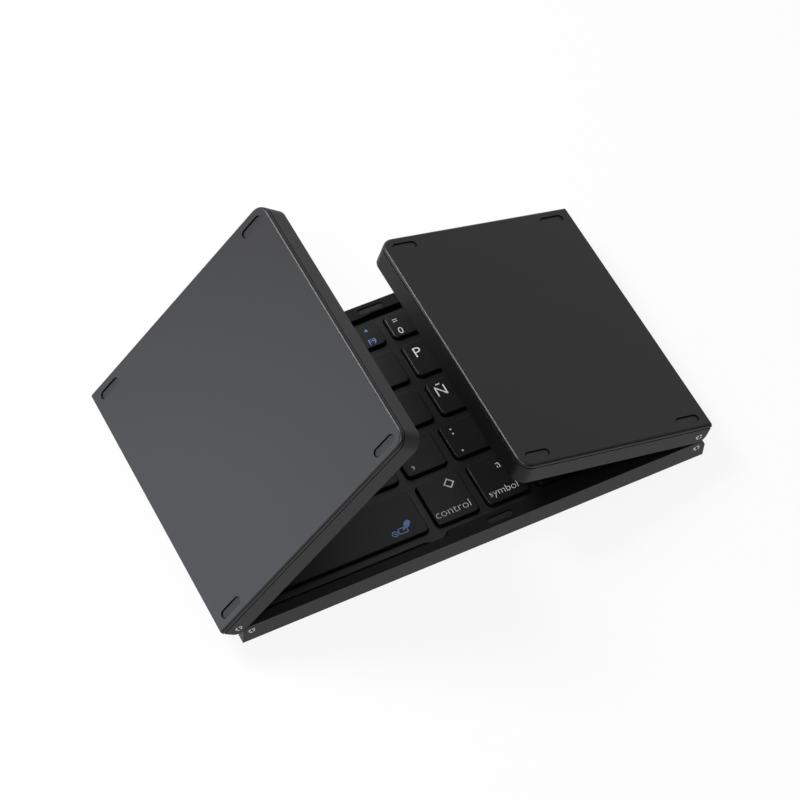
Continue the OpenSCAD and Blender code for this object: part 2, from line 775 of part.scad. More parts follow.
module base_key_domes() {
    color("#8f9193") on_base() domes(base_keys);
}

module controller_board() {
    color("#1f5136") on_base()
        translate([controller_x, inner_y - controller_d + fit_play, controller_z])
            cube([controller_l, controller_d - 2 * fit_play, controller_t]);
}

module charge_port() {
    color("silver") on_base() translate([port_x, panel_d - lay_gap, parts_z + port_h / 2]) rotate([90, 0, 0]) {
        difference() {
            linear_extrude(port_d) port_outline();
            translate([0, 0, -cut]) linear_extrude(port_d + cut - port_wall) port_outline(-port_wall);
        }
        translate([-port_w / 2 + port_h / 2, -port_wall, tongue_in])
            cube([port_w - port_h, 2 * port_wall, port_d - tongue_in]);
    }
}

module power_switch() {
    color("#3a3a3c") on_base() difference() {
        translate([switch_x, inner_y - lay_gap - switch_d, parts_z])
            cube([switch_l, switch_d, switch_h]);
        translate([slider_x0 - slider_play, inner_y - switch_d + switch_wall, slider_z - slider_play])
            cube([slider_w + slider_travel + 2 * slider_play, switch_d, slider_h + 2 * slider_play]);
    }
}

module power_slider() {
    color("#4a4a4d") on_base()
        translate([slider_x0, inner_y - switch_d + switch_wall + slider_play, slider_z])
            cube([slider_w, switch_d - switch_wall - slider_play + back_wall + slider_proud, slider_h]);
}

module status_light() {
    color("#dfe8f5") on_base() translate([light_x, light_y, parts_z])
        cylinder(r = light_r, h = panel_t - parts_z);
}

module base_foot_pads() {
    color("#1c1c1d") on_base() foot_pads(base_l);
}

module base_rim_pads() {
    color("#242425") on_base() at_rim_pads() linear_extrude(pad_t)
        pill(foot_l - 2 * lay_gap, rim_pad_w - 2 * lay_gap);
}

module base_magnets() {
    color("#b9bbbe") on_base() at_rim_pads() translate([-rim_magnet_l / 2, -magnet_w / 2, -magnet_w])
        cube([rim_magnet_l, magnet_w, magnet_w]);
}

module base_cover_screws() {
    color("#8d9093") on_base() cover_screws(base_l);
}

module base_pivot_screws() {
    color("#c9cbce") on_base() {
        pivot_screws();
        translate([base_l, 0, 0]) mirror([1, 0, 0]) pivot_screws();
    }
}

// ---- Left wing --------------------------------------------------------------

module left_cover() {
    color("#505254") on_left_wing() {
        wing_cover(left_w);
        board_ribs(left_w, free_rim);
    }
}

module left_frame() {
    color("#3b3b3d") on_left_wing() wing_frame(left_w);
}

module left_key_plate() {
    color("#232324") on_left_wing() key_plate(left_keys) wing_deck(left_w, fit_play);
}

module left_switch_board() {
    color("#1f5136") on_left_wing() switch_board(left_w, free_rim);
}

module left_key_domes() {
    color("#8f9193") on_left_wing() domes(left_keys);
}

module left_foot_pads() {
    color("#1c1c1d") on_left_wing() foot_pads(left_w);
}

module left_magnets() {
    color("#b9bbbe") on_left_wing() front_and_back() wing_magnet(left_w, 0, 0);
}

module left_cover_screws() {
    color("#8d9093") on_left_wing() cover_screws(left_w);
}

module left_pivot_screws() {
    color("#c9cbce") on_left_wing() pivot_screws();
}

// ---- Right wing -------------------------------------------------------------

module right_cover() {
    color("#3a3938") on_right_wing() wing_cover(right_w);
}

module right_frame() {
    color("#3d3a3a") on_right_wing() wing_frame(right_w);
}

// Opening for the touchpad in its bezel plate.
module touch_plan(g) {
    near = hinge_rim + ledge + touch_margin;
    round_rect(near + g, front_bar + touch_margin + g, right_w - free_rim - ledge - touch_margin - g,
        panel_d - back_bar - touch_margin - g, deck_corner_r);
}

module touchpad_bezel() {
    color("#232324") on_right_wing() translate([0, 0, plate_z]) linear_extrude(plate_t) difference() {
        wing_deck(right_w, fit_play);
        touch_plan(0);
    }
}

module touchpad() {
    color("#1b1b1d") on_right_wing() translate([0, 0, plate_z])
        linear_extrude(plate_t + touch_proud) touch_plan(fit_play);
}

module touchpad_board() {
    color("#1f5136") on_right_wing() translate([0, 0, plate_z - touch_board_t])
        linear_extrude(touch_board_t) cavity(right_w, free_rim, board_play);
}

module battery() {
    x = hinge_rim + ledge + battery_in;
    y = front_bar + battery_in;
    color("#9aa4ad") on_right_wing() translate([x, y, cover_t + lay_gap])
        cube([right_w - x - free_rim - ledge - battery_in, panel_d - y - back_bar - battery_in, battery_t]);
}

module right_foot_pads() {
    color("#1c1c1d") on_right_wing() foot_pads(right_w);
}

module right_magnets() {
    color("#b9bbbe") on_right_wing() front_and_back() wing_magnet(right_w, 0, 0);
}

module right_cover_screws() {
    color("#8d9093") on_right_wing() cover_screws(right_w);
}

module right_pivot_screws() {
    color("#c9cbce") on_right_wing() pivot_screws();
}

// ---- Hinges -----------------------------------------------------------------

module left_hinge_links() {
    color("#77797c") on_left_link() hinge_links();
}

module left_flex_cable() {
    color("#b07a2c") on_left_link() flex_cable();
}

module right_hinge_links() {
    color("#77797c") on_right_link() hinge_links();
}

module right_flex_cable() {
    color("#b07a2c") on_right_link() flex_cable();
}

// ---- Keys -------------------------------------------------------------------

// Keys of one row of the middle panel, picked by their places in the row.
module base_caps(row, picks) {
    color("#1e1e1f") on_base() caps([for (i = picks) base_row(row)[i]]);
}

module left_caps(row) {
    color("#1e1e1f") on_left_wing() caps(left_row(row));
}

base_frame();
base_key_plate();
base_cover();
base_switch_board();
base_key_domes();
controller_board();
charge_port();
power_switch();
power_slider();
status_light();
base_foot_pads();
base_rim_pads();
base_magnets();
base_cover_screws();
base_pivot_screws();
left_cover();
left_frame();
left_key_plate();
left_switch_board();
left_key_domes();
left_foot_pads();
left_magnets();
left_cover_screws();
left_pivot_screws();
right_cover();
right_frame();
touchpad_bezel();
touchpad();
touchpad_board();
battery();
right_foot_pads();
right_magnets();
right_cover_screws();
right_pivot_screws();
left_hinge_links();
left_flex_cable();
right_hinge_links();
right_flex_cable();
base_caps(0, [0]);  // key_space
base_caps(0, [1]);  // key_ctrl
base_caps(0, [2]);  // key_alt
base_caps(0, [3:6]);  // base_space_row_keys
base_caps(1, [4]);  // key_comma
base_caps(1, [5]);  // key_period
base_caps(1, [0, 1, 2, 3, 6, 7]);  // base_lower_keys
base_caps(2, [4]);  // key_l
base_caps(2, [5]);  // key_enye
base_caps(2, [0, 1, 2, 3, 6, 7, 8]);  // base_home_keys
base_caps(3, [4]);  // key_o
base_caps(3, [5]);  // key_p
base_caps(3, [0, 1, 2, 3, 6, 7, 8]);  // base_upper_keys
base_caps(4, [4]);  // key_9
base_caps(4, [5]);  // key_0
base_caps(4, [0, 1, 2, 3, 6, 7, 8]);  // base_number_keys
left_caps(0);  // left_space_row_keys
left_caps(1);  // left_lower_keys
left_caps(2);  // left_home_keys
left_caps(3);  // left_upper_keys
left_caps(4);  // left_number_keys
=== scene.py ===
"""Looks of a three-panel folding keyboard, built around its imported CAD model.

The middle panel lies on the desk. The left wing, with keys, and the right wing, with a touchpad,
stand half shut above it. Sizes are in millimetres and become metres where a mesh is made.
"""

import logging
import math
from dataclasses import dataclass, field
from enum import Enum
from typing import Any, Callable, Iterable, Optional, Sequence

import bmesh
import bpy
from mathutils import Matrix, Vector


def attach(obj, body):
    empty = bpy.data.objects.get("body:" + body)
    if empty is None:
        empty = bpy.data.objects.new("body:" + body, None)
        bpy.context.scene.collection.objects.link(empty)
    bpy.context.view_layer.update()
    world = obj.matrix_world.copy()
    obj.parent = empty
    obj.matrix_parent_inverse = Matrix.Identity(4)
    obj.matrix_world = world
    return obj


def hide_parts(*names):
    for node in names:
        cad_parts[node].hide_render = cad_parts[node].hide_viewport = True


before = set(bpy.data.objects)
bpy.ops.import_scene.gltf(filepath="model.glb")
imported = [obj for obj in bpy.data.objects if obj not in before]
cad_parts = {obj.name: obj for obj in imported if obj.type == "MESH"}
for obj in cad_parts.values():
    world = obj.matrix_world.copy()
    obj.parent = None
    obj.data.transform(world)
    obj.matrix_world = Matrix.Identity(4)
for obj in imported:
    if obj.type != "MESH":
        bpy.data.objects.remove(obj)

logging.basicConfig(level=logging.INFO, format="%(name)s: %(message)s")
LOG = logging.getLogger("keyboard")

MM = 0.001
# Points of an outline's round corner.
CORNER_POINTS = 6
# Smallest radius of a corner, in millimetres.
SMALLEST_R = 0.05
# Height of a capital as a share of its font's size.
CAPITAL_SHARE = 0.7
# Where a drift of tone starts and ends in its noise.
TONE_SPAN = (0.3, 0.7)

Point = tuple[float, float]
Triple = tuple[float, float, float]
Skin = bmesh.types.BMesh
Tree = bpy.types.NodeTree
Socket = bpy.types.NodeSocket
Stops = Sequence[tuple[float, tuple[float, ...]]]


class Body(Enum):
    """The rigid bodies that dressed pieces ride on."""

    BASE = "base"
    LEFT_WING = "left_wing"
    RIGHT_WING = "right_wing"


class Ink(Enum):
    """Printing inks of the key legends."""

    WHITE = "white"
    BLUE = "blue"


class Slot(Enum):
    """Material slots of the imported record."""

    FRAME = "frame_plastic"
    DECK = "deck_plastic"
    BOTTOM = "bottom_plastic"
    COVER = "cover_plastic"
    KEYCAP = "keycap_plastic"
    BOARD = "circuit_board"
    DOME = "dome_rubber"
    PAD = "pad_rubber"
    PORT = "port_steel"
    SWITCH = "switch_plastic"
    LIGHT = "light_pipe"
    TOUCH = "touch_surface"
    BATTERY = "battery_pouch"
    MAGNET = "magnet_nickel"
    SCREW = "screw_steel"
    PIVOT = "pivot_steel"
    LINK = "link_steel"
    FLEX = "flex_film"


# ---- Colour and node helpers ----


def linear(hex_colour: str) -> tuple[float, float, float, float]:
    """Turns an sRGB hex colour to linear light.

    Args:
        hex_colour: six hex digits, such as "434445".

    Returns:
        Linear red, green and blue with alpha 1.
    """
    parts = [int(hex_colour[i : i + 2], 16) / 255 for i in (0, 2, 4)]
    red, green, blue = [c / 12.92 if c <= 0.04045 else ((c + 0.055) / 1.055) ** 2.4 for c in parts]
    return red, green, blue, 1.0


def add_node(
    tree: Tree,
    kind: str,
    settings: Optional[dict[str, Any]] = None,
    links: Optional[dict[str, Socket]] = None,
) -> bpy.types.Node:
    """Adds one shader node with its settings and incoming links.

    Args:
        tree: the node tree to add to.
        kind: the node's type, without the "ShaderNode" in front.
        settings: values by property name, or by input socket name.
        links: output sockets by the input socket that takes them.

    Returns:
        The new node.
    """
    node = tree.nodes.new("ShaderNode" + kind)
    for name, value in (settings or {}).items():
        if name in node.inputs:
            node.inputs[name].default_value = value
        else:
            setattr(node, name, value)
    for name, socket in (links or {}).items():
        tree.links.new(socket, node.inputs[name])
    return node


def empty_tree(owner: bpy.types.ID) -> Tree:
    """The emptied node tree of a new material or world."""
    owner.use_nodes = True
    owner.node_tree.nodes.clear()
    return owner.node_tree


def map_range(
    tree: Tree, value: Socket, low: Any, high: Any, span: Point = (0.0, 1.0)
) -> Socket:
    """Maps a value's span to another range.

    Args:
        tree: the node tree to add to.
        value: the value that is mapped.
        low: a number or a socket, for the span's start.
        high: a number or a socket, for its end.
        span: the values that are mapped to them.

    Returns:
        The mapped value.
    """
    node = add_node(tree, "MapRange", {"From Min": span[0], "From Max": span[1]}, {"Value": value})
    for name, end in (("To Min", low), ("To Max", high)):
        if isinstance(end, Socket):
            tree.links.new(end, node.inputs[name])
        else:
            node.inputs[name].default_value = end
    return node.outputs["Result"]


def set_ramp(node: bpy.types.Node, stops: Stops) -> None:
    """Gives a colour ramp its stops.

    Args:
        node: the colour ramp node.
        stops: (position, colour) pairs from left to right.
    """
    elements = node.color_ramp.elements
    while len(elements) < len(stops):
        elements.new(0.5)
    for element, (position, colour) in zip(elements, stops):
        element.position = position
        element.color = colour


def shade(colour: tuple[float, ...], factor: float) -> tuple[float, float, float, float]:
    """A linear colour made lighter or darker by a factor."""
    return colour[0] * factor, colour[1] * factor, colour[2] * factor, 1.0


def per_mm(size_mm: float) -> float:
    """Scale of a texture in metre coordinates whose features are size_mm apart."""
    return 1.0 / (size_mm * MM)


# ---- Finishes ----


@dataclass(frozen=True)
class Finish:
    """A surface finish with fine grain, slow tone drift and uneven gloss.

    Fields hold the sRGB colour, the shader's plain values, the grain's spacing and depth in
    millimetres, and how far the tone and the roughness drift from their mean.
    """

    name: str
    colour: str
    roughness: float
    ior: float = 1.5
    metallic: float = 0.0
    specular: float = 0.5
    grain_mm: float = 0.35
    grain_depth_mm: float = 0.01
    drift: float = 0.06
    drift_mm: float = 25.0
    gloss_drift: float = 0.04
    brush: Triple = (1.0, 1.0, 1.0)

    def build(self) -> bpy.types.Material:
        """Makes the material.

        Returns:
            The material, with its node tree.
        """
        material = bpy.data.materials.new(self.name)
        tree = empty_tree(material)
        place = add_node(tree, "TexCoord").outputs["Object"]
        stretched = add_node(tree, "Mapping", {"Scale": self.brush}, {"Vector": place})
        shader = add_node(
            tree, "BsdfPrincipled", {"Metallic": self.metallic, "Roughness": self.roughness}
        )
        if self.metallic < 0.5:
            shader.inputs["IOR"].default_value = self.ior
            shader.inputs["Specular IOR Level"].default_value = self.specular
        driver, stops = self.pattern(tree, place)
        ramp = add_node(tree, "ValToRGB", links={"Fac": driver})
        set_ramp(ramp, stops)
        tree.links.new(ramp.outputs["Color"], shader.inputs["Base Color"])
        self.grain(tree, stretched.outputs["Vector"], shader)
        add_node(tree, "OutputMaterial", links={"Surface": shader.outputs["BSDF"]})
        return material

    def pattern(self, tree: Tree, place: Socket) -> tuple[Socket, Stops]:
        """A slow drift of tone.

        Args:
            tree: the material's node tree.
            place: texture coordinates.

        Returns:
            What drives the base colour's ramp, and the ramp's stops.
        """
        scale = {"Scale": per_mm(self.drift_mm), "Detail": 3.0}
        cloud = add_node(tree, "TexNoise", scale, {"Vector": place})
        tone = linear(self.colour)
        ends = shade(tone, 1 - self.drift), shade(tone, 1 + self.drift)
        return cloud.outputs["Fac"], list(zip(TONE_SPAN, ends))

    def grain(self, tree: Tree, place: Socket, shader: bpy.types.Node) -> None:
        """Adds the surface's fine relief and its uneven gloss.

        Args:
            tree: the material's node tree.
            place: texture coordinates, stretched along the brushing.
            shader: the surface shader.
        """
        scale = {"Scale": per_mm(self.grain_mm), "Detail": 2.0}
        speck = add_node(tree, "TexNoise", scale, {"Vector": place}).outputs["Fac"]
        low, high = self.roughness - self.gloss_drift, self.roughness + self.gloss_drift
        gloss = map_range(tree, speck, max(0.05, low), min(1.0, high))
        tree.links.new(gloss, shader.inputs["Roughness"])
        bump = add_node(
            tree, "Bump", {"Strength": 0.5, "Distance": self.grain_depth_mm * MM}, {"Height": speck}
        )
        tree.links.new(bump.outputs["Normal"], shader.inputs["Normal"])


@dataclass(frozen=True)
class TracedFinish(Finish):
    """A finish with fine parallel conductors under its skin, as on a board or a flex cable."""

    trace_colour: str = "2a6a49"
    pitch_mm: float = 1.2
    share: float = 0.4
    blur: float = 0.05
    across: str = "X"

    def pattern(self, tree: Tree, place: Socket) -> tuple[Socket, Stops]:
        """Parallel conductors that wander a little.

        Args:
            tree: the material's node tree.
            place: texture coordinates.

        Returns:
            What drives the base colour's ramp, and the ramp's stops.
        """
        wave = add_node(
            tree,
            "TexWave",
            {
                "bands_direction": self.across,
                # A wave texture draws 10 / pi bands in a unit at scale 1.
                "Scale": per_mm(self.pitch_mm) * math.pi / 10,
                "Distortion": 1.5,
                "Detail": 1.0,
                "Detail Scale": 0.4,
            },
            {"Vector": place},
        )
        edges = 1 - self.share - self.blur, 1 - self.share + self.blur
        tones = linear(self.colour), linear(self.trace_colour)
        return wave.outputs["Fac"], list(zip(edges, tones))


@dataclass(frozen=True)
class ClearFinish(Finish):
    """A clear moulded finish that lets light through."""

    transmission: float = 0.8

    def build(self) -> bpy.types.Material:
        """Makes the material and lets light through it."""
        material = super().build()
        for node in material.node_tree.nodes:
            if node.type == "BSDF_PRINCIPLED":
                node.inputs["Transmission Weight"].default_value = self.transmission
        return material


FINISHES: dict[Slot, Finish] = {
    # Frames: PC-ABS from a finely eroded mould. A dull skin with a warm tint in grazing light.
    # The real grain of about 0.05 mm is too fine to show, so it is drawn at 0.4 mm.
    Slot.FRAME: Finish("eroded_mould_pc_abs", "0f0e0e", 0.47, specular=0.23, grain_mm=0.4),
    # Key plates and touchpad bezel: PC, moulded smooth. Near black with a satin sheen.
    Slot.DECK: Finish(
        "satin_moulded_pc", "111112", 0.4, ior=1.58, grain_mm=0.4, grain_depth_mm=0.006
    ),
    # Bottom cover: the frames' PC-ABS, with a coarser grain that hides scuffs.
    Slot.BOTTOM: Finish("coarse_mould_pc_abs", "1f1f20", 0.6, grain_mm=0.7, grain_depth_mm=0.02),
    # Covers: ABS, spray painted matt. Fine orange peel and a soft, wide highlight.
    Slot.COVER: Finish("matt_painted_abs", "0d0c0c", 0.4, grain_mm=0.5, grain_depth_mm=0.006),
    # Keycaps: ABS with a UV-cured soft coat. Near black, with narrow highlights on the edges.
    Slot.KEYCAP: Finish(
        "uv_coated_abs", "0f0f10", 0.4, grain_mm=0.35, grain_depth_mm=0.006, drift=0.08
    ),
    # Boards: glass epoxy under a green solder mask, with copper lines that show as a lighter green.
    Slot.BOARD: TracedFinish(
        "solder_masked_glass_epoxy", "122a1d", 0.35, ior=1.55, trace_colour="1a3b29"
    ),
    # Domes: thin translucent silicone, which looks milky grey.
    Slot.DOME: Finish("milky_silicone_rubber", "8f9193", 0.45, ior=1.41, grain_mm=0.6),
    # Pads: silicone rubber, moulded matt. A dusty, wide highlight. Their colour is lighter than the
    # covers', as painted light against the shade in their recesses.
    Slot.PAD: Finish("matt_silicone_rubber_painted_light", "202020", 0.48, ior=1.41, grain_mm=0.3),
    # Charging port: stainless steel, stamped and barrel polished. Fine lines along the draw.
    Slot.PORT: Finish(
        "stamped_stainless_steel", "b9bbbe", 0.3, metallic=1.0, grain_mm=0.4, brush=(1.0, 0.1, 1.0)
    ),
    # Switch and slider: POM, moulded. Waxy and smooth.
    Slot.SWITCH: Finish(
        "moulded_pom", "3a3a3c", 0.38, ior=1.48, grain_mm=0.3, grain_depth_mm=0.004
    ),
    # Status light: clear acrylic, frosted by its mould.
    Slot.LIGHT: ClearFinish("frosted_acrylic", "dfe8f5", 0.3, ior=1.49),
    # Touchpad: polyester film, hard coated and printed black from behind. An even, silky gloss.
    Slot.TOUCH: Finish(
        "hard_coated_pet_film", "1d1d1f", 0.3, ior=1.6, grain_mm=0.2, grain_depth_mm=0.002
    ),
    # Pouch cell: aluminium laminate under nylon. Bright, with soft creases.
    Slot.BATTERY: Finish(
        "laminated_aluminium_foil", "b4b8bc", 0.35, metallic=0.9, grain_mm=6.0, grain_depth_mm=0.15
    ),
    # Magnets: neodymium with nickel plate. Bright and slightly mottled.
    Slot.MAGNET: Finish("nickel_plated_magnet", "c4c2bb", 0.22, metallic=1.0, grain_mm=0.5),
    # Cover screws: steel with zinc plate. Cool grey, finely crystalline.
    Slot.SCREW: Finish("zinc_plated_steel", "9b9ea1", 0.38, metallic=1.0, grain_mm=0.2),
    # Pivot screws: steel with bright nickel plate. The brightest metal on the part.
    Slot.PIVOT: Finish("nickel_plated_steel", "c4c3c0", 0.3, metallic=1.0, grain_mm=0.2),
    # Links: steel sheet, blanked and tumbled. Darker, with lines across the blanked edge.
    Slot.LINK: Finish(
        "blanked_steel_sheet", "77797c", 0.42, metallic=1.0, grain_mm=0.3, brush=(1.0, 0.15, 1.0)
    ),
    # Flex cables: polyimide film, laminated over copper lines.
    Slot.FLEX: TracedFinish(
        "laminated_polyimide_film",
        "8a5a1c",
        0.35,
        ior=1.7,
        trace_colour="b87b34",
        pitch_mm=0.8,
        across="Y",
    ),
}
INKS: dict[Ink, Finish] = {
    # Legends: pad-printed ink. Flat, slightly uneven cover.
    Ink.WHITE: Finish(
        "pad_print_white", "e4e4e2", 0.6, grain_mm=0.25, grain_depth_mm=0.002, drift_mm=3.0
    ),
    Ink.BLUE: Finish(
        "pad_print_blue", "6c8cc4", 0.6, grain_mm=0.25, grain_depth_mm=0.002, drift_mm=3.0
    ),
}
# Recesses of the pivot screws: steel painted near black and dull, as painted shade where shade
# falls in the cross.
RECESS_SHADE = Finish("recess_painted_shade_steel", "0c0c0c", 0.6, grain_mm=0.2)


class Palette:
    """The materials, each made once, by record slot and by ink."""

    def __init__(self) -> None:
        """Builds every material."""
        self.by_slot = {slot: finish.build() for slot, finish in FINISHES.items()}
        self.by_ink = {ink: finish.build() for ink, finish in INKS.items()}
        # Near black steel for the screws' cross recesses, which is painted shade.
        self.recess = RECESS_SHADE.build()


# ---- Mesh helpers ----


def rounded_loop(
    box: tuple[float, float, float, float], radius: float, inset: float
) -> list[Point]:
    """Outline of a rectangle with round corners, anticlockwise.

    Args:
        box: (x0, y0, x1, y1) before the inset.
        radius: corner radius before the inset.
        inset: how far the outline lies inside the box.

    Returns:
        Points, as many for each corner.
    """
    x0, y0, x1, y1 = box[0] + inset, box[1] + inset, box[2] - inset, box[3] - inset
    r = max(radius - inset, SMALLEST_R)
    left, right, low, high = x0 + r, x1 - r, y0 + r, y1 - r
    loop: list[Point] = []
    for cx, cy, start in ((right, low, -90), (right, high, 0), (left, high, 90), (left, low, 180)):
        for step in range(CORNER_POINTS):
            turn = math.radians(start + step * 90 / (CORNER_POINTS - 1))
            loop.append((cx + r * math.cos(turn), cy + r * math.sin(turn)))
    return loop


def circle_loop(radius: float, count: int) -> list[Point]:
    """Outline of a circle about the origin, anticlockwise."""
    return [
        (radius * math.cos(2 * math.pi * i / count), radius * math.sin(2 * math.pi * i / count))
        for i in range(count)
    ]


def add_rings(
    bm: Skin,
    rings: Sequence[tuple[Sequence[Point], float]],
    close_first: bool = True,
    close_last: bool = True,
) -> list[list[bmesh.types.BMVert]]:
    """Adds a skin through a stack of outlines of equal length.

    Args:
        bm: the mesh to add to.
        rings: (outline, height) pairs, in order along the skin.
        close_first: whether the first outline is filled.
        close_last: whether the last outline is filled.

    Returns:
        The vertices of each ring.
    """
    made = [[bm.verts.new((x, y, z)) for x, y in outline] for outline, z in rings]
    for low, high in zip(made, made[1:]):
        for i in range(len(low)):
            j = (i + 1) % len(low)
            bm.faces.new((low[i], low[j], high[j], high[i]))
    if close_first:
        bm.faces.new(list(reversed(made[0])))
    if close_last:
        bm.faces.new(made[-1])
    return made


def add_object(name: str, data: bpy.types.ID) -> bpy.types.Object:
    """A new object of the scene, with the mesh, curve, lamp or camera that it shows."""
    made = bpy.data.objects.new(name, data)
    bpy.context.scene.collection.objects.link(made)
    return made


def mesh_object(
    name: str, bm: Skin, place: Matrix, sharp_deg: float = 50.0
) -> bpy.types.Object:
    """Turns a mesh in panel millimetres into an object in the row frame.

    Args:
        name: the object's name.
        bm: the mesh, which is freed.
        place: the panel's matrix, from millimetres to metres in the row frame.
        sharp_deg: edges that turn further than this stay sharp.

    Returns:
        The object, with its place in its mesh.
    """
    bm.transform(place)
    if place.determinant() < 0:
        bmesh.ops.reverse_faces(bm, faces=bm.faces)
    mesh = bpy.data.meshes.new(name)
    bm.to_mesh(mesh)
    bm.free()
    mesh.shade_smooth()
    mesh.set_sharp_from_angle(angle=math.radians(sharp_deg))
    return add_object(name, mesh)


def finish_piece(
    piece: bpy.types.Object,
    material: bpy.types.Material,
    body: str,
    nodes: Iterable[str] = (),
) -> bpy.types.Object:
    """Dresses a new piece, puts it on its body and lets it stand for its CAD nodes.

    Args:
        piece: the new piece, in place in the row frame.
        material: its material.
        body: the CAD body that it rides on.
        nodes: CAD nodes that it replaces.

    Returns:
        The piece.
    """
    piece.data.materials.append(material)
    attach(piece, body)
    if nodes:
        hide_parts(*nodes)
    LOG.info("%s rides on %s, %d faces", piece.name, body, len(piece.data.polygons))
    return piece


# ---- Panels ----


@dataclass(frozen=True)
class Panels:
    """Sizes of the three panels and the pose that they rest in."""

    base_l: float = 164.5
    depth: float = 98.0
    thickness: float = 8.3
    left_w: float = 90.2
    pin_in: float = 3.0
    hinge_gap: float = 0.2
    left_link: float = 45.5
    left_wing: float = 3.5
    right_link: float = 0.0
    right_wing: float = 16.0

    @property
    def pin_z(self) -> float:
        """Height of a pivot in its panel."""
        return self.thickness - self.pin_in

    @property
    def link_len(self) -> float:
        """Distance between the two pivots of a link."""
        return 2 * self.pin_in + self.hinge_gap

    def place(self, body: Body) -> Matrix:
        """Matrix from a panel's own millimetres, drawn flat open, to the row frame in metres.

        Args:
            body: the panel.

        Returns:
            The matrix. The left wing's mirrors X.
        """
        base = Matrix.Scale(MM, 4) @ Matrix.Translation((-self.base_l / 2, -self.depth / 2, 0))
        if body is Body.BASE:
            return base
        left = body is Body.LEFT_WING
        pin_x = self.pin_in if left else self.base_l - self.pin_in
        link = -self.left_link if left else self.right_link
        wing = 180 - self.left_wing if left else self.right_wing - 180
        hinge = (
            base
            @ Matrix.Translation((pin_x, 0, self.pin_z))
            @ Matrix.Rotation(math.radians(link), 4, "Y")
            @ Matrix.Translation((0, 0, self.link_len))
            @ Matrix.Rotation(math.radians(wing), 4, "Y")
        )
        if left:
            flip = Matrix.Scale(-1, 4, (1, 0, 0))
            return hinge @ Matrix.Translation((self.pin_in, 0, -self.pin_z)) @ flip
        return hinge @ Matrix.Translation((-self.pin_in, 0, -self.pin_z))


# ---- Keys ----


@dataclass(frozen=True)
class Legend:
    """One printed mark on a keycap: its text, middle from the cap's corner, height, ink and weight.

    The weight is how far its strokes are grown, or shrunk where it is negative, in millimetres.
    """

    text: str
    x: float
    y: float
    size: float
    ink: Ink = Ink.WHITE
    weight: float = 0.0


@dataclass(frozen=True)
class Key:
    """One key's plan in its panel, and its legends."""

    x: float
    y: float
    w: float
    d: float
    legends: tuple[Legend, ...] = ()


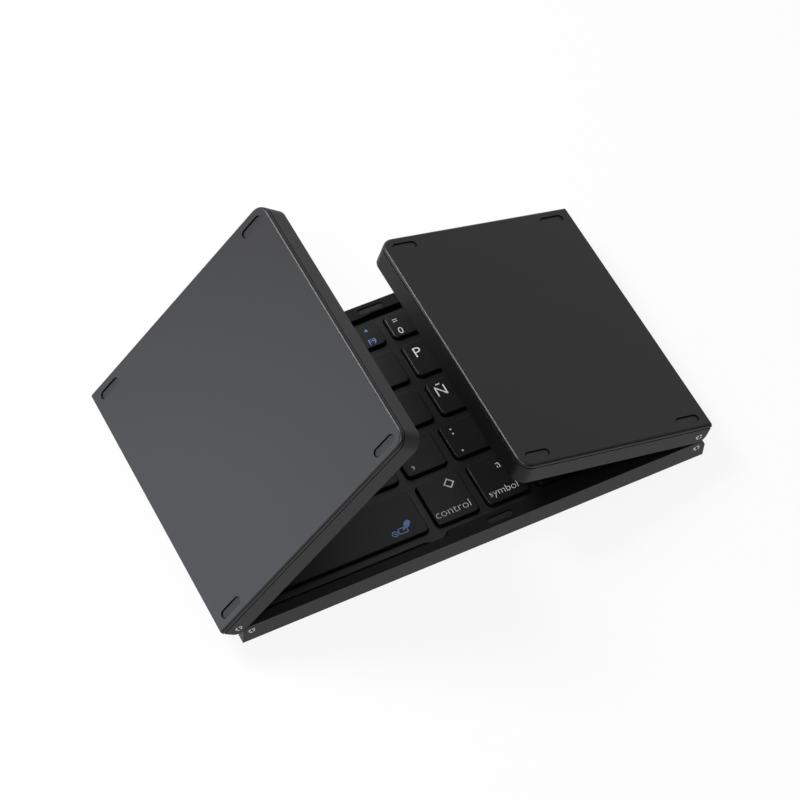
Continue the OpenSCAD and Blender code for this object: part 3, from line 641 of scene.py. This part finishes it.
@dataclass(frozen=True)
class KeyField:
    """Layout of the keys on the middle panel and the left wing, and the shape of a keycap."""

    panels: Panels = field(default_factory=Panels)
    front: float = 7.8
    back: float = 10.1
    space_row: float = 1.24
    number_row: float = 0.71
    row_gap: float = 3.45
    key_gap: float = 3.1
    split_gap: float = 1.4
    hinge_x: float = 5.5
    free_x: float = 4.7
    corner: float = 1.6
    cap_top: float = 7.9
    cap_h: float = 3.0
    top_t: float = 1.1
    wall: float = 0.9
    fillet: float = 0.22
    fillet_steps: int = 4
    draft: float = 0.12
    land: float = 0.12
    skirt_break: Point = (0.05, 0.08)
    ink_t: float = 0.024

    @property
    def letter_d(self) -> float:
        """Depth of a letter row."""
        room = self.panels.depth - self.front - self.back - 4 * self.row_gap
        return room / (self.space_row + 3 + self.number_row)

    def row_place(self, row: int) -> Point:
        """Front edge and depth of a row, counted from the space bar's."""
        depth = self.letter_d * {0: self.space_row, 4: self.number_row}.get(row, 1.0)
        if row == 0:
            return self.front, depth
        start = self.front + self.space_row * self.letter_d + self.row_gap
        return start + (row - 1) * (self.letter_d + self.row_gap), depth

    def row(self, x0: float, x1: float, row: int, shares: Sequence[float]) -> list[Key]:
        """Keys of one row.

        Args:
            x0: the row's left end in its panel.
            x1: its right end.
            row: the row's number, from the space bar's.
            shares: each key's width as a share of a letter key's.

        Returns:
            The keys, without legends.
        """
        y, depth = self.row_place(row)
        unit = (x1 - x0 - self.key_gap * (len(shares) - 1)) / sum(shares)
        keys, x = [], x0
        for share in shares:
            keys.append(Key(x, y, unit * share, depth))
            x += unit * share + self.key_gap
        return keys

    def base_row(self, row: int) -> list[Key]:
        """Keys of one row of the middle panel, with the arrow keys split in two."""
        shares = {0: [4.19, 1, 1, 1, 1, 1], 1: [0.73, 1, 1, 1, 1, 1, 1, 2.49]}.get(row, [1] * 9)
        keys = self.row(self.hinge_x, self.panels.base_l - self.hinge_x, row, shares)
        if row:
            return keys
        whole = keys[4]
        half = (whole.d - self.split_gap) / 2
        down = Key(whole.x, whole.y, whole.w, half)
        up = Key(whole.x, whole.y + half + self.split_gap, whole.w, half)
        return keys[:4] + [down, up] + keys[5:]

    def left_row(self, row: int) -> list[Key]:
        """Keys of one row of the left wing, from its hinge end."""
        shares = [1, 1, 1, 1] if row == 0 else [1, 1, 1, 1, 0.73]
        return self.row(self.hinge_x, self.panels.left_w - self.free_x, row, shares)

    def cap_mesh(self, keys: Sequence[Key]) -> Skin:
        """Hollow caps with drafted walls and rounded upper edges.

        Args:
            keys: the keys, in panel millimetres.

        Returns:
            One closed skin for each key.
        """
        bm = bmesh.new()
        top, skirt, f = self.cap_top, self.cap_top - self.cap_h, self.fillet
        for key in keys:
            box = (key.x, key.y, key.x + key.w, key.y + key.d)
            profile = [(self.wall, top - self.top_t), (self.wall, skirt)]
            profile += [(self.skirt_break[0], skirt), (0.0, skirt + self.skirt_break[1])]
            for step in range(self.fillet_steps + 1):
                turn = math.radians(step * 90 / self.fillet_steps)
                inset = self.draft + f * (1 - math.cos(turn))
                profile.append((inset, top - f * (1 - math.sin(turn))))
            profile.append((self.draft + f + self.land, top))
            add_rings(bm, [(rounded_loop(box, self.corner, inset), z) for inset, z in profile])
        return bm

    def ink_mesh(self, keys: Sequence[Key], ink: Ink, mirrored: bool) -> Skin:
        """Printed marks of one ink on some keys.

        Args:
            keys: the keys, in panel millimetres.
            ink: which marks to make.
            mirrored: whether the panel's matrix mirrors X, so that the marks are drawn reversed.

        Returns:
            Thin closed letters, just through the caps' tops.
        """
        bm = bmesh.new()
        for key in keys:
            for legend in key.legends:
                if legend.ink is not ink:
                    continue
                x = key.x + (key.w - legend.x if mirrored else legend.x)
                turn = Matrix.Scale(-1, 4, (1, 0, 0)) if mirrored else Matrix.Identity(4)
                spot = Matrix.Translation((x, key.y + legend.y, self.cap_top)) @ turn
                add_print(bm, legend, spot, self.ink_t, mirrored)
        return bm


def add_print(
    bm: Skin, legend: Legend, spot: Matrix, thickness: float, mirrored: bool
) -> None:
    """Adds one legend's thin letters, or its pictogram, to a mesh.

    Args:
        bm: the mesh, in panel millimetres.
        legend: what is printed.
        spot: where its middle goes.
        thickness: the print's thickness. Half of it stands above the cap.
        mirrored: whether spot mirrors the letters.
    """
    if legend.text in PICTOGRAMS:
        curves = [pictogram_curve(part, legend.size) for part in PICTOGRAMS[legend.text]()]
    else:
        curve = bpy.data.curves.new("print", "FONT")
        curve.body = legend.text
        curve.size = legend.size / CAPITAL_SHARE
        curve.align_x, curve.align_y = "CENTER", "CENTER"
        curve.resolution_u = 3
        curve.offset = legend.weight
        curves = [curve]
    for layer, curve in enumerate(curves):
        curve.extrude = thickness / 2
        holder = add_object("print", curve)
        seen = holder.evaluated_get(bpy.context.evaluated_depsgraph_get())
        mesh = bpy.data.meshes.new_from_object(seen)
        # Each part lies a hair above the last, so that no two faces fall in one plane.
        mesh.transform(spot @ Matrix.Translation((0, 0, layer * thickness / 3)))
        if mirrored:
            mesh.flip_normals()
        bm.from_mesh(mesh)
        bpy.data.meshes.remove(mesh)
        bpy.data.objects.remove(holder)
        bpy.data.curves.remove(curve)


def pictogram_curve(outlines: Sequence[Sequence[Point]], size: float) -> bpy.types.Curve:
    """A filled flat curve from closed outlines. An outline inside another is a hole.

    Args:
        outlines: closed outlines about one unit high.
        size: height in millimetres.

    Returns:
        The curve.
    """
    curve = bpy.data.curves.new("print", "CURVE")
    curve.dimensions = "2D"
    curve.fill_mode = "BOTH"
    for outline in outlines:
        spline = curve.splines.new("POLY")
        spline.points.add(len(outline) - 1)
        for point, (x, y) in zip(spline.points, outline):
            point.co = (x * size, y * size, 0, 1)
        spline.use_cyclic_u = True
    return curve


def shifted(outline: Sequence[Point], dx: float, dy: float, scale: float = 1.0) -> list[Point]:
    """An outline scaled about the origin and then moved."""
    return [(x * scale + dx, y * scale + dy) for x, y in outline]


def bar(x0: float, y0: float, x1: float, y1: float, width: float) -> list[Point]:
    """Outline of a straight stroke from one point to another."""
    length = math.hypot(x1 - x0, y1 - y0)
    nx, ny = -(y1 - y0) / length * width / 2, (x1 - x0) / length * width / 2
    return [(x0 + nx, y0 + ny), (x0 - nx, y0 - ny), (x1 - nx, y1 - ny), (x1 + nx, y1 + ny)]


def touchpad_mark() -> list[list[list[Point]]]:
    """Pictogram for switching a touchpad: a pad, a hand that points at it and a barred ring."""
    pad_box = (-0.34, -0.46, 0.5, 0.12)
    pad = rounded_loop(pad_box, 0.12, 0.0)
    window = list(reversed(rounded_loop(pad_box, 0.12, 0.08)))
    ring = shifted(circle_loop(0.28, 24), -0.66, -0.24)
    hole = list(reversed(shifted(circle_loop(0.2, 24), -0.66, -0.24)))
    slash = bar(-0.79, -0.11, -0.53, -0.37, 0.08)
    hand = [(0.06, -0.12), (0.14, -0.2), (0.4, -0.02), (0.6, -0.06), (0.84, 0.12), (1.0, 0.4)]
    hand += [(0.8, 0.62), (0.52, 0.54), (0.36, 0.32), (0.34, 0.14)]
    return [[pad, window], [ring, hole], [slash], [hand]]


def diamond_mark() -> list[list[list[Point]]]:
    """Pictogram of an open diamond."""
    outer = [(0.0, -0.5), (0.5, 0.0), (0.0, 0.5), (-0.5, 0.0)]
    return [[outer, shifted(outer, 0, 0, 0.7)]]


PICTOGRAMS: dict[str, Callable[[], list[list[list[Point]]]]] = {
    "touchpad": touchpad_mark,
    "diamond": diamond_mark,
}


@dataclass(frozen=True)
class LegendPlan:
    """Where legends stand on a cap, from its front left corner, and how high they are."""

    letter: Triple = (3.8, 8.7, 4.0)
    upper: Triple = (3.3, 10.4, 3.7)
    lower: Triple = (3.1, 3.5, 3.9)
    comma: Triple = (3.1, 4.9, 5.2)
    digit: Triple = (3.0, 2.1, 2.6)
    shifted: Triple = (3.0, 6.5, 2.4)
    function: Triple = (9.95, 1.95, 2.15)
    function_mark: Triple = (9.7, 6.7, 2.8)
    wide_shift: float = 0.9
    thin: float = -0.04

    def number(self, digit: str, over: str, function: str, mark: str = "") -> tuple[Legend, ...]:
        """Legends of a number key."""
        made = [Legend(digit, *self.digit, weight=self.thin)]
        made.append(Legend(over, *self.shifted, weight=self.thin))
        right = self.wide_shift if len(function) > 2 else 0.0
        for text, (x, y, size) in ((function, self.function), (mark, self.function_mark)):
            if text:
                made.append(Legend(text, x + right, y, size, Ink.BLUE))
        return tuple(made)

    def capital(self, text: str) -> tuple[Legend, ...]:
        """Legend of a letter key."""
        return (Legend(text, *self.letter, weight=self.thin),)

    def pair(self, low: str, high: str) -> tuple[Legend, ...]:
        """Legends of a key with two signs."""
        return Legend(low, *self.lower), Legend(high, *self.upper)

    def at(self, text: str, x: float, y: float, size: float = 2.2) -> tuple[Legend, ...]:
        """One legend at a stated place."""
        return (Legend(text, x, y, size),)


def printed(keys: Sequence[Key], legends: Sequence[tuple[Legend, ...]]) -> list[Key]:
    """Keys with their legends, in the same order."""
    return [Key(k.x, k.y, k.w, k.d, marks) for k, marks in zip(keys, legends)]


class Keyboard:
    """All keycaps and their legends, each on the body of its CAD node."""

    BASE_NODES: dict[int, list[str]] = {
        0: ["key_space", "key_ctrl", "key_alt"] + ["base_space_row_keys"] * 4,
        1: ["base_lower_keys"] * 4 + ["key_comma", "key_period"] + ["base_lower_keys"] * 2,
        2: ["base_home_keys"] * 4 + ["key_l", "key_enye"] + ["base_home_keys"] * 3,
        3: ["base_upper_keys"] * 4 + ["key_o", "key_p"] + ["base_upper_keys"] * 3,
        4: ["base_number_keys"] * 4 + ["key_9", "key_0"] + ["base_number_keys"] * 3,
    }
    LEFT_NODES: list[str] = [
        f"left_{row}_keys" for row in ("space_row", "lower", "home", "upper", "number")
    ]

    def __init__(self, panels: Panels, palette: Palette) -> None:
        """Lays out the keys.

        Args:
            panels: sizes and pose of the panels.
            palette: the materials.
        """
        self.panels = panels
        self.palette = palette
        self.field = KeyField(panels)
        self.plan = LegendPlan()

    def base_legends(self, row: int) -> list[tuple[Legend, ...]]:
        """Legends of a row of the middle panel, from the left."""
        plan = self.plan
        if row == 4:
            named = [
                ("5", "%", "F5"),
                ("6", "&", "F6"),
                ("7", "/", "F7"),
                ("8", "(", "F8"),
                ("9", ")", "F9", "◂"),
                ("0", "=", "F10", "▸"),
                ("'", "?", "F11"),
                ("¡", "¿", "F12"),
            ]
            return [plan.number(*n) for n in named] + [plan.at("⌫", 9.5, 4.8, 2.6)]
        if row == 3:
            rest = [plan.pair("`", "^"), plan.pair("+", "*"), plan.at("del", 8.8, 3.4)]
            return [plan.capital(c) for c in "TYUIOP"] + rest
        if row == 2:
            rest = [plan.pair("´", "¨"), plan.capital("Ç"), plan.at("↵", 8.6, 4.0, 3.0)]
            return [plan.capital(c) for c in "GHJKLÑ"] + rest
        if row == 1:
            comma = (Legend(",", *plan.comma), Legend(";", *plan.upper))
            signs = [comma, plan.pair(".", ":"), plan.pair("-", "_")]
            first = [(Legend("V", 3.6, *plan.letter[1:]),)]
            letters = [plan.capital(c) for c in "BNM"]
            return first + letters + signs + [plan.at("shift", 28.0, 3.4)]
        return [
            (Legend("touchpad", 54.8, 4.0, 3.9, Ink.BLUE),),
            (Legend("control", 7.0, 3.6, 3.0, weight=-0.08), Legend("diamond", 10.3, 12.9, 3.9)),
            (
                Legend("symbol", 6.9, 3.5, 2.6, weight=-0.07),
                Legend("alt", 10.8, 12.7, 2.9, weight=-0.07),
            ),
            plan.at("◂", 8.4, 8.3, 2.6),
            plan.at("▾", 7.6, 3.8, 2.4),
            plan.at("▴", 7.6, 3.8, 2.4),
            plan.at("▸", 8.4, 8.3, 2.6),
        ]

    def left_legends(self, row: int) -> list[tuple[Legend, ...]]:
        """Legends of a row of the left wing, from its hinge end."""
        plan = self.plan
        if row == 4:
            named = [("4", "$", "F4"), ("3", "#", "F3"), ("2", '"', "F2"), ("1", "!", "F1")]
            return [plan.number(*n) for n in named] + [plan.at("esc", 5.4, 4.8, 2.2)]
        if row == 3:
            return [plan.capital(c) for c in "REWQ"] + [plan.at("tab", 5.4, 3.4)]
        if row == 2:
            return [plan.capital(c) for c in "FDSA"] + [plan.at("caps", 5.6, 3.4)]
        if row == 1:
            rest = [plan.pair("<", ">"), plan.at("shift", 5.4, 3.4)]
            return [plan.capital(c) for c in "CXZ"] + rest
        words = ["alt", "diamond", "ctrl", "fn"]
        return [plan.at(w, 9.4, 4.0, 3.0 if w == "diamond" else 2.5) for w in words]

    def build(self) -> None:
        """Makes every cap and its print."""
        for row in range(5):
            keys = printed(self.field.base_row(row), self.base_legends(row))
            for node in dict.fromkeys(self.BASE_NODES[row]):
                chosen = [k for k, n in zip(keys, self.BASE_NODES[row]) if n == node]
                self.add_caps(node, chosen, Body.BASE)
            keys = printed(self.field.left_row(row), self.left_legends(row))
            self.add_caps(self.LEFT_NODES[row], keys, Body.LEFT_WING)

    def add_caps(self, node: str, keys: Sequence[Key], panel: Body) -> None:
        """Makes one CAD node's caps and their print.

        Args:
            node: the CAD node, which is also the name of its body.
            keys: its keys.
            panel: the panel that they are drawn in.
        """
        place = self.panels.place(panel)
        caps = mesh_object(node + "_caps", self.field.cap_mesh(keys), place)
        finish_piece(caps, self.palette.by_slot[Slot.KEYCAP], node, [node])
        for ink in Ink:
            if any(mark.ink is ink for key in keys for mark in key.legends):
                mirrored = panel is Body.LEFT_WING
                printing = self.field.ink_mesh(keys, ink, mirrored)
                mark = mesh_object(f"{node}_{ink.value}_print", printing, place)
                finish_piece(mark, self.palette.by_ink[ink], node)


# ---- Pivot screws ----


@dataclass(frozen=True)
class PivotScrew:
    """A flat-head screw with a tapered cross recess, which is one of a hinge's pivots."""

    head_r: float = 1.2
    head_t: float = 0.6
    shank_r: float = 0.8
    shank_l: float = 5.6
    tip: float = 0.2
    chamfer: float = 0.12
    arm_l: float = 0.98
    arm_w: float = 0.56
    recess: float = 0.5
    taper: float = 0.7
    twist_deg: float = 20.0
    segments: int = 72

    def cross(self, scale: float = 1.0) -> list[Point]:
        """Outline of the cross, with one point for each of the head's.

        Args:
            scale: size of the outline as a share of the mouth's.

        Returns:
            The points, anticlockwise.
        """
        outline: list[Point] = []
        for i in range(self.segments):
            turn = 2 * math.pi * i / self.segments
            aside = abs((turn + math.pi / 4) % (math.pi / 2) - math.pi / 4)
            reach = self.arm_l / math.cos(aside)
            if aside > 0:
                reach = min(reach, self.arm_w / 2 / math.sin(aside))
            outline.append((scale * reach * math.cos(turn), scale * reach * math.sin(turn)))
        return outline

    def add(self, bm: Skin, spot: Matrix) -> None:
        """Adds the screw, with its head's face at spot's origin and facing spot's +Z.

        Args:
            bm: the mesh, in panel millimetres.
            spot: where the head's face goes.
        """
        foot = -self.head_t - self.shank_l
        turned = [
            (self.shank_r - self.tip, foot),
            (self.shank_r, foot + self.tip),
            (self.shank_r, -self.head_t),
            (self.head_r, -self.head_t),
            (self.head_r, -self.chamfer),
            (self.head_r - self.chamfer, 0.0),
        ]
        stack = [(circle_loop(radius, self.segments), z) for radius, z in turned]
        stack += [(self.cross(), 0.0), (self.cross(self.taper), -self.recess)]
        rings = add_rings(bm, stack)
        # The cross recess's faces take material 1, the near black steel of painted shade.
        for face in {f for vert in rings[-1] for f in vert.link_faces}:
            face.material_index = 1
        bmesh.ops.transform(bm, matrix=spot, verts=[vert for ring in rings for vert in ring])


class PivotScrews:
    """The pivot screws of the three panels."""

    def __init__(self, panels: Panels, palette: Palette) -> None:
        """Keeps what the screws are placed and dressed by."""
        self.panels = panels
        self.palette = palette

    def build(self) -> None:
        """Makes the screws of each panel in place of their CAD nodes."""
        far = self.panels.base_l - self.panels.pin_in
        self.add("base_pivot_screws", Body.BASE, [self.panels.pin_in, far])
        self.add("left_pivot_screws", Body.LEFT_WING, [self.panels.pin_in])
        self.add("right_pivot_screws", Body.RIGHT_WING, [self.panels.pin_in])

    def add(self, node: str, panel: Body, places: Sequence[float]) -> None:
        """Makes one panel's screws.

        Args:
            node: the CAD node that they replace.
            panel: the panel.
            places: their distances from the panel's left or hinge end.
        """
        bm = bmesh.new()
        screw = PivotScrew()
        for x in places:
            for y, turn in ((0.0, 90), (self.panels.depth, -90)):
                spot = Matrix.Translation((x, y, self.panels.pin_z))
                spot = spot @ Matrix.Rotation(math.radians(turn), 4, "X")
                screw.add(bm, spot @ Matrix.Rotation(math.radians(screw.twist_deg), 4, "Z"))
        piece = mesh_object(node + "_turned", bm, self.panels.place(panel), sharp_deg=30)
        steel = self.palette.by_slot[Slot.PIVOT]
        piece = finish_piece(piece, steel, panel.value, [node])
        # Material 1: the near black steel that paints shade into the cross recesses.
        piece.data.materials.append(self.palette.recess)


# ---- CAD nodes that stay ----


@dataclass(frozen=True)
class EdgeBreak:
    """The small rounding that a mould or a tumbler leaves on an edge."""

    width_mm: float
    segments: int = 2
    from_deg: float = 40.0
    weld_mm: float = 0.0005
    flat_deg: float = 0.2

    def apply(self, piece: bpy.types.Object) -> None:
        """Rounds a CAD node's sharp edges with modifiers, which leave its own mesh as it is.

        Args:
            piece: the CAD node's object.
        """
        weld = piece.modifiers.new("weld", "WELD")
        weld.merge_threshold = self.weld_mm * MM
        flat = piece.modifiers.new("flat", "DECIMATE")
        flat.decimate_type = "DISSOLVE"
        flat.angle_limit = math.radians(self.flat_deg)
        rounding = piece.modifiers.new("edge_break", "BEVEL")
        rounding.width = self.width_mm * MM
        rounding.segments = self.segments
        rounding.limit_method = "ANGLE"
        rounding.angle_limit = math.radians(self.from_deg)
        rounding.use_clamp_overlap = True
        rounding.miter_outer = "MITER_ARC"
        normals = piece.modifiers.new("normals", "WEIGHTED_NORMAL")
        normals.keep_sharp = False


@dataclass(frozen=True)
class NodeDress:
    """What some CAD nodes that stay are dressed in. Their names stand in a row with spaces."""

    slot: Slot
    nodes: str
    edge: Optional[EdgeBreak] = None


class Housing:
    """The CAD nodes whose shapes stay: frames, covers, plates, pads and what is inside."""

    MOULD_EDGE = EdgeBreak(0.18)
    FINE_EDGE = EdgeBreak(0.08)
    DRESS: tuple[NodeDress, ...] = (
        NodeDress(Slot.FRAME, "base_frame left_frame right_frame", MOULD_EDGE),
        NodeDress(Slot.DECK, "base_key_plate left_key_plate touchpad_bezel"),
        NodeDress(Slot.BOTTOM, "base_cover"),
        NodeDress(Slot.COVER, "left_cover right_cover"),
        NodeDress(Slot.TOUCH, "touchpad", MOULD_EDGE),
        NodeDress(Slot.BOARD, "base_switch_board left_switch_board"),
        NodeDress(Slot.BOARD, "touchpad_board controller_board"),
        NodeDress(Slot.DOME, "base_key_domes left_key_domes"),
        NodeDress(Slot.PORT, "charge_port"),
        NodeDress(Slot.SWITCH, "power_switch"),
        NodeDress(Slot.SWITCH, "power_slider", MOULD_EDGE),
        NodeDress(Slot.LIGHT, "status_light"),
        # Pads wear a colour lighter than the covers', painted light against the shade in their
        # recesses.
        NodeDress(Slot.PAD, "base_foot_pads left_foot_pads right_foot_pads", FINE_EDGE),
        NodeDress(Slot.PAD, "base_rim_pads", FINE_EDGE),
        NodeDress(Slot.MAGNET, "base_magnets left_magnets right_magnets", FINE_EDGE),
        NodeDress(Slot.SCREW, "base_cover_screws left_cover_screws right_cover_screws", FINE_EDGE),
        NodeDress(Slot.BATTERY, "battery", MOULD_EDGE),
        NodeDress(Slot.LINK, "left_hinge_links right_hinge_links", FINE_EDGE),
        NodeDress(Slot.FLEX, "left_flex_cable right_flex_cable"),
    )

    def __init__(self, palette: Palette) -> None:
        """Keeps the materials."""
        self.palette = palette

    def build(self) -> None:
        """Dresses every CAD node that stays."""
        for dress in self.DRESS:
            for node in dress.nodes.split():
                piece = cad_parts[node]
                piece.data.materials.clear()
                piece.data.materials.append(self.palette.by_slot[dress.slot])
                if dress.edge:
                    dress.edge.apply(piece)
                LOG.info("%s keeps its shape, in %s", node, dress.slot.value)


# ---- Studio ----


@dataclass(frozen=True)
class SoftBox:
    """A square studio lamp that faces the object."""

    name: str
    place: Triple
    size: float
    power: float
    colour: str

    def build(self, target: Vector) -> None:
        """Hangs the lamp and turns it to a point."""
        lamp = bpy.data.lights.new(self.name, "AREA")
        lamp.shape = "SQUARE"
        lamp.size = self.size
        lamp.energy = self.power
        lamp.color = linear(self.colour)[:3]
        holder = add_object(self.name, lamp)
        holder.location = self.place
        holder.rotation_mode = "QUATERNION"
        holder.rotation_quaternion = (target - Vector(self.place)).to_track_quat("-Z", "Y")


@dataclass(frozen=True)
class Studio:
    """A pale floor, soft lamps, an even sky and the camera."""

    sensor_mm: float = 36.0
    lens_mm: float = 132.995
    clip: Point = (0.05, 20.0)
    camera_at: Triple = (-0.286112, -0.461396, 0.787576)
    right: Triple = (0.888315, -0.456253, 0.052243)
    up: Triple = (0.347419, 0.742061, 0.573276)
    back: Triple = (-0.300327, -0.4911, 0.817695)
    aim: Triple = (0.0, 0.0, 0.03)
    floor_size: float = 6.0
    floor_drop: float = 0.0002
    floor_colour: str = "ececec"
    floor_glow: float = 0.88
    floor_cloud: float = 4.0
    floor_rough: Point = (0.85, 0.95)
    sky_low: float = 1.0
    sky_high: float = 0.46
    sky_front: float = 0.02
    sky_heights: Point = (0.08, 0.5)
    sky_depths: Point = (-0.7, 0.1)
    boxes: tuple[SoftBox, ...] = (
        SoftBox("left_box", (-0.7, 0.27, 0.1), 0.32, 1.03, "e9f0ff"),
        SoftBox("key_box", (-0.42, 0.5, 0.8), 0.35, 7.5, "ffffff"),
        SoftBox("fill_box", (-0.55, -0.5, 1.07), 0.3, 5.0, "fff8f4"),
    )

    def build(self) -> None:
        """Sets the stage."""
        view = bpy.context.scene.view_settings
        view.view_transform = "Standard"
        self.hang_sky()
        self.lay_floor()
        for box in self.boxes:
            box.build(Vector(self.aim))
        self.set_camera()

    def hang_sky(self) -> None:
        """A white sky that dims towards its top and front. A camera sees it as plain white."""
        world = bpy.data.worlds.new("sky")
        tree = empty_tree(world)
        direction = add_node(tree, "TexCoord").outputs["Generated"]
        axes = add_node(tree, "SeparateXYZ", links={"Vector": direction}).outputs
        high = map_range(tree, axes["Z"], self.sky_low, self.sky_high, self.sky_heights)
        dim = map_range(tree, axes["Y"], self.sky_front, high, self.sky_depths)
        seen = self.seen(tree, ("Camera", "Transmission"))
        strength = map_range(tree, seen, dim, 1.0)
        shader = add_node(tree, "Background", {"Color": (1, 1, 1, 1)}, {"Strength": strength})
        add_node(tree, "OutputWorld", links={"Surface": shader.outputs["Background"]})
        bpy.context.scene.world = world

    @staticmethod
    def seen(tree: Tree, kinds: Sequence[str]) -> Socket:
        """A socket that is 1 for some kinds of ray and 0 for the others.

        Args:
            tree: the node tree to add to.
            kinds: the kinds, by the names that the light path has for them.

        Returns:
            The socket.
        """
        path = add_node(tree, "LightPath")
        socket = path.outputs[f"Is {kinds[0]} Ray"]
        for kind in kinds[1:]:
            either = add_node(tree, "Math", {"operation": "MAXIMUM"})
            tree.links.new(socket, either.inputs[0])
            tree.links.new(path.outputs[f"Is {kind} Ray"], either.inputs[1])
            socket = either.outputs["Value"]
        return socket

    def lay_floor(self) -> None:
        """A wide pale floor, nearly white to the camera, that keeps the object's shadow."""
        bm = bmesh.new()
        bmesh.ops.create_grid(bm, x_segments=8, y_segments=8, size=self.floor_size / 2)
        mesh = bpy.data.meshes.new("floor")
        bm.to_mesh(mesh)
        bm.free()
        floor = add_object("floor", mesh)
        floor.location = (0, 0, -self.floor_drop)
        material = bpy.data.materials.new("pale_floor")
        tree = empty_tree(material)
        place = add_node(tree, "TexCoord").outputs["Object"]
        cloud = add_node(tree, "TexNoise", {"Scale": self.floor_cloud}, {"Vector": place})
        rough = map_range(tree, cloud.outputs["Fac"], *self.floor_rough)
        paint = add_node(
            tree,
            "BsdfPrincipled",
            {"Base Color": linear(self.floor_colour), "Specular IOR Level": 0.0},
            {"Roughness": rough},
        )
        glow = add_node(tree, "Emission", {"Color": (1, 1, 1, 1), "Strength": 1.0})
        seen = self.seen(tree, ("Camera", "Glossy", "Transmission"))
        share = map_range(tree, seen, 0.0, self.floor_glow)
        mix = add_node(tree, "MixShader", links={"Fac": share})
        tree.links.new(paint.outputs["BSDF"], mix.inputs[1])
        tree.links.new(glow.outputs["Emission"], mix.inputs[2])
        add_node(tree, "OutputMaterial", links={"Surface": mix.outputs["Shader"]})
        mesh.materials.append(material)

    def set_camera(self) -> None:
        """Puts the camera in its place, turned by its three axes."""
        data = bpy.data.cameras.new("camera")
        data.sensor_width = self.sensor_mm
        data.lens = self.lens_mm
        data.clip_start, data.clip_end = self.clip
        camera = add_object("camera", data)
        turn = Matrix((self.right, self.up, self.back)).transposed().to_4x4()
        camera.matrix_world = Matrix.Translation(self.camera_at) @ turn
        bpy.context.scene.camera = camera


# ---- Making it ----


def main() -> None:
    """Builds the keyboard's looks in order."""
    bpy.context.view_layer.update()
    panels = Panels()
    palette = Palette()
    Studio().build()
    Housing(palette).build()
    Keyboard(panels, palette).build()
    PivotScrews(panels, palette).build()


if __name__ == "__main__":
    main()
